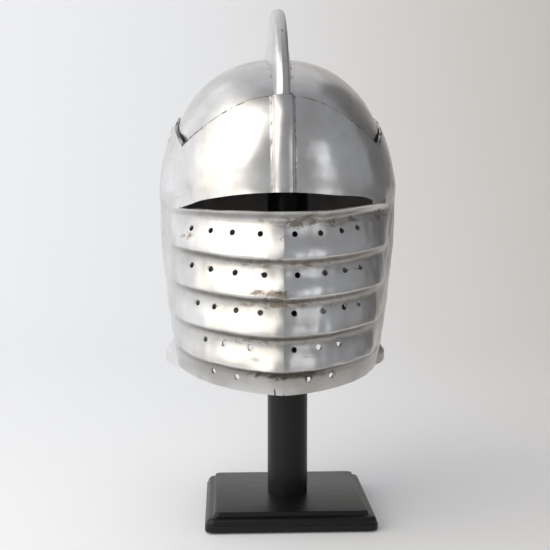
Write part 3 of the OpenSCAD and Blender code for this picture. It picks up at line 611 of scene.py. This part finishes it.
def buildVisor():
    right = np.concatenate([np.arange(0, 6.6, 0.33), np.arange(7, 52, 1.0), [52, 53, 54, 55.2],
                            np.arange(56, 72, 1.0), np.linspace(72, 101.5, 34)])
    turns = np.concatenate([-right[:0:-1], right])
    q = np.abs(np.sin(np.radians(np.minimum(np.abs(turns), 90))))
    brow = np.linspace(0, 1, 58)
    slit = np.linspace(0, 1, 10)[1:]
    band = np.concatenate([np.linspace(0, 0.2, 10)[1:], np.linspace(0.2, 0.9, 11)[1:],
                           np.linspace(0.9, 1, 6)[1:]])
    heights = [mix(upperEdge(turns), lipAt(q), t) for t in brow]
    lipRow = len(heights) - 1
    heights += [mix(lipAt(q), crestAt(0, q), t) for t in slit]
    sillRow = len(heights) - 1
    for i in range(5):
        heights += [mix(crestAt(i, q), crestAt(i + 1, q), t) for t in band]
    w = np.array(heights)
    a = np.broadcast_to(turns, w.shape)
    a = np.where(np.abs(a) < 72, a, np.sign(a) * (72 + (np.abs(a) - 72) * (rearAngle(w) - 72) / 29.5))
    outer, n = visorPoint(a, w), visorNormal(a, w)
    inner = outer - helmet["plate"] * n
    calm = ease(skull["flatInner"], skull["flatOuter"] + 4, np.hypot(outer[..., 1], outer[..., 2]))
    calm = calm * (1 - 0.75 * (1 - ease(7, 14, np.abs(outer[..., 0]))) * ease(-56, -40, outer[..., 2]))
    hand = mix(0.5, 1.0, ease(-45, -75, outer[..., 2]))
    uneven = calm * (hand * visor["dents"] * waves(outer, 26, 11) + 0.13 * hand * waves(outer, 13, 12)
                     + 0.16 * waves(outer, 48, 13)) - 0.3 * calm
    outer, inner = outer + n * uneven[..., None], inner + n * uneven[..., None]
    rows, cols = w.shape
    half = rows * cols
    sight = np.zeros((rows - 1, cols - 1), bool)
    middle = (turns[:-1] >= -visor["slit"]) & (turns[1:] <= visor["slitLeft"] + 0.01)
    sight[lipRow:sillRow, middle] = True
    faces = quads(rows, cols, skip=sight, flip=True) + quads(rows, cols, skip=sight, start=half)
    slots = [0] * (len(faces) // 2) + [1] * (len(faces) // 2)

    def wall(p, r):
        faces.append((p, half + p, half + r, r))
        slots.append(0)

    for j in range(cols - 1):
        wall(j + 1, j)
        wall((rows - 1) * cols + j, (rows - 1) * cols + j + 1)
    for i in range(rows - 1):
        wall(i * cols, (i + 1) * cols)
        wall((i + 2) * cols - 1, (i + 1) * cols - 1)
    first, last = np.where(middle)[0][0], np.where(middle)[0][-1] + 1
    for j in range(first, last):
        wall(lipRow * cols + j, lipRow * cols + j + 1)
        wall(sillRow * cols + j + 1, sillRow * cols + j)
    for i in range(lipRow, sillRow):
        wall((i + 1) * cols + first, i * cols + first)
        wall(i * cols + last, (i + 1) * cols + last)
    points = np.concatenate([outer.reshape(-1, 3), inner.reshape(-1, 3)])
    piece = newPiece("visorShell", inPlace(points[:, 0], points[:, 1], points[:, 2]), faces,
                     [steel, darkSteel], "visor", ["visor"], slots)
    holes, sides = [], []
    for at in breathSpots():
        turn = math.atan2(at[1] - 30, at[0])
        rod = rodPoints(inPlace(*at), (math.cos(turn), -math.sin(turn), 0), visor["breath"] / 2000, 0.009)
        sides += [tuple(v + len(holes) for v in f) for f in rod[1]]
        holes += [tuple(p) for p in rod[0]]
    carve(piece, [(holes, sides)])
    for s in (-1, 1):
        carve(piece, [rodPoints(inPlace(s * 108, 0, 0), (1, 0, 0), 0.00505, 0.014, 40)])
    keelLow = visorPoint(np.array(0.0), np.array(visor["crestKeel"][5]))
    nickAcross, nickUp = np.array([-8.2, -6.4, -7.6, -8.6]), np.array([-3, -3, 6, 6])
    nick = [inPlace(nickAcross, keelLow[1] + reach, keelLow[2] + nickUp) for reach in (-8, 8)]
    carve(piece, [sweepRings(nick)])
    softenEdges(piece, 38)
    return piece


# patches of stain, and of dirt and painted shadow, on the visor: place across and in height, reach each way,
# strength
rustPatches = [(-6, -138, 12, 4, 1.3), (-26, -136, 14, 3, 0.8), (-4, -88, 6, 9, 0.5), (48, -76, 9, 3.5, 0.8),
               (8, -80, 10, 6, 0.55), (22, -72, 16, 4, 0.7), (60, -72, 18, 4, 0.75), (-40, -110, 26, 4, 0.5),
               (40, -112, 22, 4, 0.5), (-20, -146, 26, 4, 0.5), (50, -148, 24, 5, 0.45),
               (-45, -182, 22, 4, 0.45), (-86, -88, 8, 5, 0.7), (-3, -104, 5, 4, 0.7), (60, -118, 16, 3, 0.5),
               (-30, -196, 16, 5, 0.5), (25, -195, 12, 4, 0.4), (88, -72, 8, 4, 0.7), (-60, -150, 14, 3, 0.5)]
# the first of the grime patches is a painted shadow under the lowest crest
grimePatches = [(8, -212, 34, 3.0, 1.6), (91, -64.5, 7, 2.2, 1.0), (-6, -180, 3.5, 5, 0.9),
                (-5, -136, 5, 3.5, 0.8), (0, -231, 1.2, 6, 1.1), (94, -56, 7, 2.5, 0.8),
                (97, -50, 2, 12, 0.6), (-94, -52, 5, 3, 0.5), (100, -70, 10, 2, 0.6), (86, -167, 3, 2, 0.7),
                (104, -160, 2, 2, 0.8)]


def blob(x, w, cx, cw, rx, rw):
    return np.exp(-(((x - cx) / rx) ** 2 + ((w - cw) / rw) ** 2))


def helmetPlaces(piece):
    co = np.empty(len(piece.data.vertices) * 3, np.float32)
    piece.data.vertices.foreach_get("co", co)
    co = co.reshape(-1, 3) * 1000
    return co[:, 0] - helmet["shift"], helmet["back"] - co[:, 1], co[:, 2] - helmet["height"]


def keepMarks(piece, **marks):
    for name, value in marks.items():
        kept = piece.data.attributes.get(name) or piece.data.attributes.new(name, "FLOAT", "POINT")
        kept.data.foreach_set("value", np.clip(value, 0, 1.5).astype(np.float32))


def ageAndShadeVisor(piece):
    x, u, w = helmetPlaces(piece)
    q = np.clip(np.abs(x) / 112, 0, 1)
    turns = np.linspace(-101, 101, 900)
    edge = visorPoint(turns, upperEdge(turns))
    grime, rust, shade = np.zeros(len(x)), np.zeros(len(x)), np.zeros(len(x))
    for i in range(5):  # under each crest
        t = (crestAt(i, q) - w) / 10
        fade = 0.65 * (1 - ease(0.35, 0.95, t)) + 0.45 * (1 - ease(0.8, 2.3, t))
        shade += (1.0 if i else 0.6) * ease(0.05, 0.28, t) * fade * (1 - ease(0.78, 0.97, q))
        # painted shade just under the lower crests, kept in the grime mark
        grime += 0.3 * np.exp(-((t - 0.3) / 0.2) ** 2) * (1 - ease(0.6, 0.9, q)) * (i > 0)
        rust += 0.5 * np.exp(-((t - 0.7) / 0.5) ** 2) * np.exp(-((np.abs(x) - 12) / 22) ** 2)
    near = kdtree.KDTree(len(edge))
    for i, p in enumerate(edge):
        near.insert(p, i)
    near.balance()
    gap = np.array([near.find(p)[2] for p in np.stack([x, u, w], -1)])
    # darker along the visor's upper edge, over a wider strip on the arms
    wide = ease(78, 88, np.abs(x))
    grime += 1.1 * (1 - ease(0.6 + 0.9 * wide, 2.1 + 0.9 * wide, gap))
    shade += 0.3 * ease(-206, -212, w)
    # darker in a ring at the edge of each breath
    for at in breathSpots():
        d = np.hypot(x - at[0], w - at[2])
        grime += 0.55 * np.exp(-((d - 2.7) / 1.5) ** 2)
    for cx, cw, rx, rw, k in rustPatches:
        rust += k * blob(x, w, cx, cw, rx, rw)
    for cx, cw, rx, rw, k in grimePatches:
        grime += k * blob(x, w, cx, cw, rx, rw)
    # painted shadow along both flanks of the brow's ridge
    grime += 0.6 * np.exp(-((np.abs(x) - 10.6) / 1.1) ** 2) * ease(-52, -44, w)  # beside the brow's ridge
    keepMarks(piece, grime=grime, rust=rust, shade=shade)


def darkenCombFoot(piece):  # darker along the comb's foot
    x, u, w = helmetPlaces(piece)
    p = np.arctan2(w, u)
    foot = np.minimum(skullDistance(p) - 1, comb["radius"] - 5)
    spread = comb["half"] + comb["foot"] * (comb["radius"] - foot)
    inComb = (np.degrees(p) > comb["from"]) & (np.degrees(p) < comb["to"]) & (np.hypot(u, w) > foot - 4)
    grime = 0.85 * np.exp(-((np.abs(x) - spread - 0.6) / 0.9) ** 2) * inComb
    keepMarks(piece, grime=grime)


def ageCombAndPaintReflection(piece):  # one old ding on the crest, and a painted dark reflection at its front end
    x, u, w = helmetPlaces(piece)
    p = np.degrees(np.arctan2(w, u))
    reach = np.hypot(u, w)
    grime = 1.3 * np.exp(-(((x - 1.2) / 1.1) ** 2 + ((p - 50) / 1.3) ** 2) ** 2)
    # painted dark reflection at the comb's front end
    grime += 0.6 * blob(x, p, -0.5, 17, 2.2, 2.2)
    keepMarks(piece, grime=grime * (reach > comb["radius"] - 4))


skullPiece = buildSkull()
softenEdges(skullPiece, 38)
print("skull:", len(skullPiece.data.polygons), "faces")
darkenCombFoot(skullPiece)
combPiece = buildComb()
ageCombAndPaintReflection(combPiece)
print("comb:", len(combPiece.data.polygons), "faces")
visorPiece = buildVisor()
ageAndShadeVisor(visorPiece)
print("visor:", len(visorPiece.data.polygons), "faces")

stand = {"width": 164, "corner": 8, "inset": 9.5, "low": 1.5, "thick": 17}


def roundedSquare(half, corner, per=9):
    points = []
    for k, (sx, sy) in enumerate([(1, 1), (-1, 1), (-1, -1), (1, -1)]):
        for t in np.linspace(0, math.pi / 2, per):
            angle = t + k * math.pi / 2
            points.append((sx * (half - corner) + corner * math.cos(angle),
                           sy * (half - corner) + corner * math.sin(angle)))
    return np.array(points)


def boardRings(profile, width, corner):  # profile: how far in, and how high
    rings = []
    for inset, z in profile:
        flat = roundedSquare(width / 2 - inset, max(corner - inset * 0.35, 1))
        rings.append([(x / 1000, y / 1000, z / 1000) for x, y in flat])
    return rings


def buildBase():
    low, thick, inset = stand["low"], stand["thick"], stand["inset"]
    profile = [(6, 0), (0.5, 0), (0, 0.5), (0, 5.6), (0.35, 6.1), (0.9, 6.3)]
    profile += [(0.9 + 4.6 * (1 - math.cos(t)), 6.3 + 6.4 * math.sin(t))
                for t in np.linspace(0.15, math.pi / 2, 9)]
    profile += [(6.4, 12.9)]
    profile += [(6.4 + 2.6 * math.sin(t), 12.9 + 3.0 * (1 - math.cos(t)))
                for t in np.linspace(0.2, math.pi / 2, 6)]
    profile += [(inset - 0.3, 16.3), (inset, 16.8), (inset + 0.6, thick)]
    profile = [(i, z + low) for i, z in profile]
    points, faces = sweepRings(boardRings(profile, stand["width"], stand["corner"]))
    return newPiece("baseBoard", points, faces, paint, "stand", ["stand_base"], sharp=24)


def feltPad(name, rings, hides):
    points, faces = sweepRings(rings)
    return newPiece(name, points, faces, felt, "stand", hides, sharp=60)


def buildFelts():
    under = boardRings([(5, 0.05), (4.2, 0.1), (4, 0.6), (4, 1.5)], stand["width"], stand["corner"])
    feltPad("baseFelt", under, ["base_felt"])
    lo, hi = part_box("cap_pad")
    centre, radius = (lo + hi) / 2, (hi.x - lo.x) / 2
    rings = []
    for inset, z in [(0.6, 0), (0.1, 0.5), (0, 2), (0.1, 3.6), (0.6, 4.4), (1.6, 4.85), (6, 4.95), (14, 5)]:
        r = radius - inset / 1000
        rings.append([(centre.x + r * math.cos(t), centre.y + r * math.sin(t), lo.z + z / 1000)
                      for t in np.linspace(0, 2 * math.pi, 48, endpoint=False)])
    pad = feltPad("capPad", rings, ["cap_pad"])


buildBase()
buildFelts()
print("stand made")

liner = {"low": 10, "high": 36, "gap": 2.5, "leather": 2.5, "stitchEvery": 4.5,
         "tongueRows": [30, 38, 46, 54, 60, 65, 69], "tongueReach": [17.5, 17.2, 16.6, 15.8, 14.6, 13, 9.5],
         "laceHeight": 66.5, "laceRadius": 1.35}
thread = {"long": 1.7, "wide": 0.42, "tall": 0.3}


def stitches(name, line, outward, every):  # short thread bars along a line
    step = np.linalg.norm(np.diff(line, axis=0), axis=1)
    far = np.concatenate([[0], np.cumsum(step)])
    points, faces = [], []
    for d in np.arange(every / 2, far[-1], every):
        p = np.array([np.interp(d, far, line[:, k]) for k in range(3)])
        ahead = np.array([np.interp(min(d + 0.5, far[-1]), far, line[:, k]) for k in range(3)])
        behind = np.array([np.interp(max(d - 0.5, 0), far, line[:, k]) for k in range(3)])
        o = np.array([np.interp(d, far, outward[:, k]) for k in range(3)])
        way = (ahead - behind) / max(np.linalg.norm(ahead - behind), 1e-9)
        o = o - way * (o @ way)
        o /= max(np.linalg.norm(o), 1e-9)
        cross = np.cross(way, o)
        start = len(points)
        for share, fat in ((-1, 0.35), (-0.6, 1), (0.6, 1), (1, 0.35)):
            for t in np.linspace(0, 2 * math.pi, 6, endpoint=False):
                centre = p + way * share * thread["long"] / 2
                points.append(centre + cross * math.cos(t) * thread["wide"] * fat
                              + o * (math.sin(t) * thread["tall"] * fat))
        faces += [tuple(start + v for v in f) for f in quads(4, 6, True)]
        faces += [tuple(range(start, start + 6))[::-1], tuple(range(start + 18, start + 24))]
    points = np.array(points)
    newPiece(name, inPlace(points[:, 0], points[:, 1], points[:, 2]), faces, lace, "helmet")


def ringSection(width, thick, soft, per=4):  # a strap's section with rounded edges, across and through
    half, t, r = width / 2, thick / 2, min(soft, thick / 2 * 0.98)
    out = []
    for k, (sx, sy) in enumerate([(1, 1), (-1, 1), (-1, -1), (1, -1)]):
        for turn in np.linspace(0, math.pi / 2, per):
            angle = turn + k * math.pi / 2
            out.append((sx * (half - r) + r * math.cos(angle), sy * (t - r) + r * math.sin(angle)))
    return out


def buildBand():
    turns = np.linspace(0, 360, 180, endpoint=False)
    mid, tall = (liner["low"] + liner["high"]) / 2, liner["high"] - liner["low"]
    base = helmet["plate"] + liner["gap"] + liner["leather"] / 2
    rings = []
    for z, d in ringSection(tall, liner["leather"], 0.9):
        rings.append(skullPoint(turns, mid + z + 0 * turns, base - d))
    rings = np.swapaxes(np.array(rings), 0, 1)
    points, faces = sweepRings(inPlace(rings[..., 0], rings[..., 1], rings[..., 2]), closedPath=True)
    newPiece("linerBand", points, faces, leather, "helmet", ["liner_band"])
    inside = helmet["plate"] + liner["gap"] + liner["leather"]
    loop = np.linspace(0, 360, 240)
    for name, w in (("bandStitchLow", liner["low"] + 3), ("bandStitchHigh", liner["high"] - 3)):
        line = skullPoint(loop, w + 0 * loop, inside)
        deeper = skullPoint(loop, w + 0 * loop, inside + 2)
        stitches(name, line, deeper - line, liner["stitchEvery"])


def buildTongues():
    points, faces = [], []
    base = helmet["plate"] + liner["gap"] + liner["leather"] + 0.3
    rows = np.linspace(0, len(liner["tongueRows"]) - 1, 26)
    height = np.interp(rows, range(len(liner["tongueRows"])), liner["tongueRows"])
    reach = np.interp(rows, range(len(liner["tongueReach"])), liner["tongueReach"])
    for k in range(8):
        rings = []
        for w, spread in zip(height, reach):
            ring = []
            for share, deep in ringSection(2, 1, 0.42):
                edge = 0.18 * (1 - abs(share))
                inward = base + 0.9 - deep * 1.7 + edge * 0.8
                ring.append(skullPoint(22.5 + 45 * k + share * spread, w, inward))
            rings.append(ring)
        p, f = sweepRings(rings)
        faces += [tuple(v + len(points) for v in one) for one in f]
        points += list(p)
    points = np.array(points)
    newPiece("linerTongues", inPlace(points[:, 0], points[:, 1], points[:, 2]), faces, leather, "helmet",
             ["liner_tongues"])


def buildLace():
    turns = np.linspace(0, 360, 240, endpoint=False)
    out = helmet["plate"] + liner["gap"] + liner["leather"] + 4.2
    path = skullPoint(turns, liner["laceHeight"] + 0.2 * np.sin(np.radians(turns) * 16), out + 0 * turns)
    way = np.roll(path, -1, 0) - np.roll(path, 1, 0)
    way /= np.linalg.norm(way, axis=1, keepdims=True)
    up = np.array([0, 0, 1.0])
    side = np.cross(way, up)
    rings = []
    for p, s, t in zip(path, side, np.radians(turns)):
        ring = []
        for k in range(12):
            angle = 2 * math.pi * k / 12
            lay = liner["laceRadius"] * (1 + 0.1 * math.cos(3 * (angle + 26 * t)))
            ring.append(p + lay * (math.cos(angle) * s + math.sin(angle) * up))
        rings.append(ring)
    rings = np.array(rings)
    points, faces = sweepRings(inPlace(rings[..., 0], rings[..., 1], rings[..., 2]), closedPath=True)
    newPiece("crownLace", points, faces, lace, "helmet", ["crown_lace"], sharp=70)


buildBand()
buildTongues()
buildLace()
print("liner made")

strap = {"forward": 52, "width": 14, "leather": 2.5, "top": (89, -74), "buckle": (-46, -170), "tilt": 26.565,
         "barOut": 12, "barRadius": 1.5, "edge": 0.7, "keeperAt": 0.84, "stitchEvery": 4.2,
         "holesByBuckle": (-2, -14), "spareHoles": (0.86, 0.62, 0.40)}
tilt = math.radians(strap["tilt"])
buckle = np.array(strap["buckle"], float)
alongBuckle = np.array([math.cos(tilt), -math.sin(tilt)])
outOfBuckle = np.array([-math.sin(tilt), -math.cos(tilt)])
heel, toe = buckle - strap["barOut"] * alongBuckle, buckle + strap["barOut"] * alongBuckle
foldRadius = strap["barRadius"] + 0.1 + strap["leather"]


def bend(a, b, c, d, t):
    a, b, c, d = (np.asarray(p, float) for p in (a, b, c, d))
    return (1 - t) ** 3 * a + 3 * t * (1 - t) ** 2 * b + 3 * t * t * (1 - t) * c + t ** 3 * d


def leftLine(t):
    top = (-strap["top"][0], strap["top"][1])
    return bend(top, (-88.4, -110), heel - 32 * alongBuckle, heel - alongBuckle, t)


def leftOut(t):
    d = leftLine(t + 0.01) - leftLine(t - 0.01)
    return np.array([d[1], -d[0]]) / np.linalg.norm(d)


def rightLine(t):
    return bend(strap["top"], (88.4, -118), (68, -183), (14, -184), t)


tailGap = strap["leather"] + 0.4
underToe = toe - (strap["barRadius"] + 0.3 + strap["leather"] / 2) * outOfBuckle
overHeel = heel + (foldRadius + 0.4 + strap["leather"] / 2) * outOfBuckle
rightPath = [rightLine(t) for t in np.arange(0, 0.99, 0.05)]
rightPath += [bend((14, -184), (-6, -184.4), (-22, -178), underToe, t) for t in np.arange(0, 0.99, 0.2)]
rightPath += [underToe, overHeel]
rightPath += [leftLine(t) + tailGap * leftOut(t) for t in np.arange(0.86, 0.655, -0.04)]
leftPath = [leftLine(t) for t in np.arange(0, 1.001, 0.05)]


def ribbon(path, pointed):  # a strap along a line in the x and w plane, its last stretch narrowed to a point
    path = np.array(path)
    way = np.gradient(path, axis=0)
    way /= np.linalg.norm(way, axis=1, keepdims=True)
    out = np.stack([-way[:, 1], way[:, 0]], -1)
    far = np.concatenate([[0], np.cumsum(np.linalg.norm(np.diff(path, axis=0), axis=1))])
    rings = []
    for p, o, d in zip(path, out, far):
        narrow = 1.0
        if pointed and far[-1] - d < pointed:
            narrow = mix(0.35, 1.0, math.sqrt(max((far[-1] - d) / pointed, 0)))
        rings.append([(p[0] + t * o[0], strap["forward"] + c * narrow, p[1] + t * o[1])
                      for c, t in ringSection(strap["width"], strap["leather"], strap["edge"])])
    return np.array(rings), path, out


def buildStraps():
    for name, path, hides, pointed in (("strapBuckleSide", leftPath, ["strap_left"], 0),
                                       ("strapHoledSide", rightPath, ["strap_right"], 9)):
        rings, line, out = ribbon(path, pointed)
        points, faces = sweepRings(inPlace(rings[..., 0], rings[..., 1], rings[..., 2]))
        piece = newPiece(name, points, faces, strapLeather, "helmet", hides)
        keep = slice(1, -8) if pointed else slice(1, -2)
        for s in (-1, 1):
            for face in (-1, 1):
                here = line[keep] + face * strap["leather"] / 2 * out[keep]
                u = np.full(len(here), strap["forward"] + s * (strap["width"] / 2 - 2.2))
                at = np.stack([here[:, 0], u, here[:, 1]], -1)
                away = np.stack([face * out[keep][:, 0], 0 * u, face * out[keep][:, 1]], -1)
                stitches(f"{name}Thread{'LR'[s > 0]}{'IO'[face > 0]}", at, away, strap["stitchEvery"])
        if pointed:
            holes = [(buckle + d * alongBuckle + 2 * outOfBuckle, outOfBuckle)
                     for d in strap["holesByBuckle"]]
            for t in strap["spareHoles"]:
                step = rightLine(t + 0.02) - rightLine(t)
                holes.append((rightLine(t), (-step[1], step[0])))
            size = (0.0014, 0.006, 16)
        else:
            holes = [(heel + 2 * alongBuckle, outOfBuckle)]
            size = (0.0024, 0.007, 20)
        cutters = [rodPoints(inPlace(at[0], strap["forward"], at[1]), (way[0], 0, way[1]), *size)
                   for at, way in holes]
        carve(piece, cutters)
        softenEdges(piece, 40)


def buildKeeper():
    out = leftOut(strap["keeperAt"])
    middle = leftLine(strap["keeperAt"]) + tailGap / 2 * out
    way = np.array([-out[1], out[0]])
    inner = (tailGap + strap["leather"] + 0.8, strap["width"] + 0.8)
    loop = [(d, c) for c, d in ringSection(inner[1] + 1.6, inner[0] + 1.6, 2.2, 6)]
    rings = []
    for k in range(len(loop)):
        d, c = loop[k]
        d2, c2 = loop[(k + 1) % len(loop)]
        d0, c0 = loop[k - 1]
        tangent = np.array([d2 - d0, c2 - c0])
        normal = np.array([tangent[1], -tangent[0]]) / np.linalg.norm(tangent)
        ring = []
        for s, n in ringSection(7, 1.5, 0.6):
            dd, cc = d + normal[0] * n, c + normal[1] * n
            p = middle + dd * out + s * way
            ring.append((p[0], strap["forward"] + cc, p[1]))
        rings.append(ring)
    rings = np.array(rings)
    points, faces = sweepRings(inPlace(rings[..., 0], rings[..., 1], rings[..., 2]), closedPath=True)
    newPiece("strapKeeper", points, faces, strapLeather, "helmet", ["strap_keeper"])


def buildSpacers():
    points, faces = [], []
    for s in (-1, 1):
        rings = []
        for x, r in [(0.0, 5.2), (0.0, 8.1), (0.4, 8.5), (2.4, 8.5), (2.8, 8.1), (2.8, 5.2)]:
            rings.append([(s * (skull["flat"] + x), r * math.cos(t), r * math.sin(t))
                          for t in np.linspace(0, 2 * math.pi, 48, endpoint=False)])
        rings = rings if s > 0 else [ring[::-1] for ring in rings]
        p, f = sweepRings(rings, closedPath=True)
        faces += [tuple(v + len(points) for v in one) for one in f]
        points += list(p)
    points = np.array(points)
    newPiece("pivotSpacers", inPlace(points[:, 0], points[:, 1], points[:, 2]), faces, leather, "helmet",
             ["pivot_spacers"])


buildStraps()
buildKeeper()
buildSpacers()
print("strap and spacers made")

# these pieces keep the shape the frame gives them, and get a finish and smooth shading
finishes = [(paint, ("stand_pole", "pole_cap")),
            (zincSteel, ("base_screw", "cap_screw", "pivot_washers", "pivot_nuts")),
            (boltSteel, ("pivot_bolts", "liner_rivets", "strap_rivets")),
            (brass, ("buckle_frame", "buckle_prong"))]
for finish, names in finishes:
    for name in names:
        kept = nodes[name].data
        kept.materials.clear()
        kept.materials.append(finish)
        if not nodes[name].hide_render:
            kept.shade_smooth()
            kept.set_sharp_from_angle(angle=math.radians(32))

room = {"wall": 1.9, "curve": 0.9, "front": -8, "width": 8, "height": 5.5, "aim": (-0.01, 0, 0.30),
        "air": (0.34, 0.35, 0.37)}


def buildRoom():
    f = Finish("paleFloorShadedAndGlowing")
    side = f.node("SeparateXYZ", {}, {"Vector": f.place()}, 0)
    # painted shade: the floor and wall grow warmer and darker towards the right
    colour = f.colours(f.between(-0.25, 0.75, side), (0.89, 0.90, 0.92), (0.79, 0.755, 0.72))
    colour = f.colours(f.between(0.65, 1.9, side), colour, (0.30, 0.29, 0.28))
    colour = f.colours(f.noise(1.1, 2, 0.5) * 0.1, colour, (0.9, 0.9, 0.9))
    # painted glow: the floor and wall give off a little light of their own colour though they are no lamp
    pale = f.finish(Base_Color=colour, Metallic=0, Roughness=0.75, Emission_Color=colour,
                    Emission_Strength=0.08)
    start, curve = room["wall"] - room["curve"], room["curve"]
    line = [(room["front"], 0), (start, 0)]
    line += [(start + curve * math.sin(t), curve * (1 - math.cos(t)))
             for t in np.linspace(0.08, math.pi / 2, 20)]
    line += [(room["wall"], room["height"])]
    points = [(x, y, z) for y, z in line for x in (-room["width"], room["width"])]
    mesh = bpy.data.meshes.new("paleSweep")
    mesh.from_pydata(points, [], [(2 * i, 2 * i + 1, 2 * i + 3, 2 * i + 2) for i in range(len(line) - 1)])
    mesh.materials.append(pale)
    mesh.shade_smooth()
    sweep = bpy.data.objects.new("paleSweep", mesh)
    bpy.context.scene.collection.objects.link(sweep)


def softLight(name, azimuth, elevation, distance, size, power, colour):
    light = bpy.data.lights.new(name, "AREA")
    light.shape, light.size, light.size_y = "RECTANGLE", size[0], size[1]
    light.energy, light.color = power, colour
    lamp = bpy.data.objects.new(name, light)
    a, e = math.radians(azimuth), math.radians(elevation)
    aim = Vector(room["aim"])
    away = Vector((math.sin(a) * math.cos(e), -math.cos(a) * math.cos(e), math.sin(e)))
    lamp.location = aim + away * distance
    lamp.rotation_euler = (aim - lamp.location).to_track_quat("-Z", "Y").to_euler()
    bpy.context.scene.collection.objects.link(lamp)


# each light's azimuth and elevation in degrees, distance, size, power and colour
lights = {"window": (-52, 30, 1.8, (1.8, 2.1), 17, (1.0, 0.95, 0.86)),
          "windowEdge": (-60, 32, 2.0, (3.0, 3.2), 16, (1.0, 0.96, 0.88)),
          "leftSide": (-108, 22, 2.1, (2.4, 2.8), 13, (0.97, 0.98, 1.0)),
          "slimRight": (40, 10, 1.9, (0.42, 0.8), 1.2, (0.96, 0.98, 1.0)),
          "behind": (190, 60, 2.4, (2.8, 2.0), 6, (0.93, 0.955, 1.0))}
buildRoom()
for name, values in lights.items():
    softLight(name, *values)
world = bpy.data.worlds.new("softRoom")
world.use_nodes = True
world.node_tree.nodes["Background"].inputs["Color"].default_value = (*room["air"], 1)
world.node_tree.nodes["Background"].inputs["Strength"].default_value = 1.0
bpy.context.scene.world = world
bpy.context.scene.view_settings.view_transform = "Standard"

camera = {"distance": 1.0994, "azimuth": -2.6, "pitch": 4.88, "eye": 0.3311, "middle": -0.0125,
          "sensor": 36, "lens": 72.62}
eye = bpy.data.cameras.new("camera")
eye.sensor_width, eye.lens = camera["sensor"], camera["lens"]
seat = bpy.data.objects.new("camera", eye)
drop = camera["distance"] * math.tan(math.radians(camera["pitch"]))
look = Vector((camera["middle"], 0, camera["eye"] - drop))
turn = math.radians(camera["azimuth"])
back = camera["distance"]
seat.location = look + Vector((math.sin(turn) * back, -math.cos(turn) * back, drop))
seat.rotation_euler = (look - seat.location).to_track_quat("-Z", "Y").to_euler()
bpy.context.scene.collection.objects.link(seat)
bpy.context.scene.camera = seat
print("stage set")
